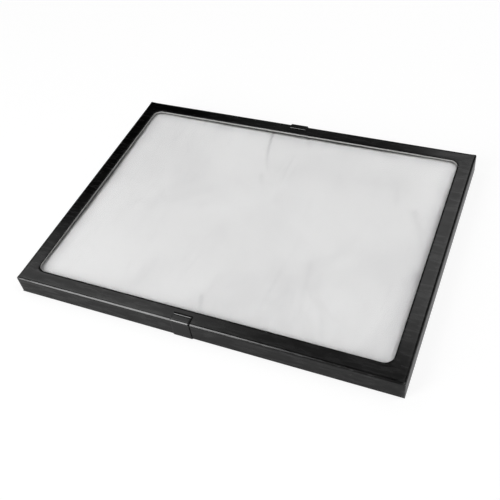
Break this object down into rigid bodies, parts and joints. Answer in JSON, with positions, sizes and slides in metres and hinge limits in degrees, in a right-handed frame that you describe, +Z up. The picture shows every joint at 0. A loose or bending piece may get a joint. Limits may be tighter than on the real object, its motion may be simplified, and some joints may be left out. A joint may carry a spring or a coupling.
{
  "type": "display case",
  "caption": "Shallow glazed display case: black paper-covered board lid with a window, board tray with a white batting bed, and slip-on metal clips on the long sides.",
  "frame": {"origin": "centre of the closed case, on the surface that it stands on, at the underside of the clips' lower flanges", "axes": "+X along the long side to the right, +Y from the front long side to the rear one, +Z up through the window"},
  "size_m": [0.4064, 0.3064, 0.0249],
  "materials": {
    "board": "matte",
    "cover_paper": "satin",
    "corner_tape": "matte",
    "glass": "polished",
    "liner": "matte",
    "batting": "matte",
    "clip": "satin"
  },
  "bodies": {
    "base": {"base_board": "board", "base_cover_paper": "cover_paper", "base_tape_rear_right": "corner_tape", "base_tape_rear_left": "corner_tape", "base_tape_front_left": "corner_tape", "base_tape_front_right": "corner_tape", "base_liner": "liner", "batting_pad": "batting"},
    "lid": {"lid_board": "board", "lid_cover_paper": "cover_paper", "lid_tape_rear_right": "corner_tape", "lid_tape_rear_left": "corner_tape", "lid_tape_front_left": "corner_tape", "lid_tape_front_right": "corner_tape", "glass_pane": "glass", "glass_spacer_front": "board", "glass_spacer_rear": "board", "glass_spacer_left": "board", "glass_spacer_right": "board", "glass_retainer_front": "board", "glass_retainer_rear": "board", "glass_retainer_left": "board", "glass_retainer_right": "board"},
    "front_clip": {"front_clip": "clip"},
    "rear_clip": {"rear_clip": "clip"}
  },
  "joints": [
    {"name": "lid_lift", "type": "slide", "parent": "base", "child": "lid", "axis": [0, 0, 1], "range_m": [0, 0.00025]},
    {"name": "front_clip_pull", "type": "slide", "parent": "base", "child": "front_clip", "axis": [0, -1, 0], "range_m": [0, 0.04]},
    {"name": "rear_clip_pull", "type": "slide", "parent": "base", "child": "rear_clip", "axis": [0, 1, 0], "range_m": [0, 0.04]}
  ]
}
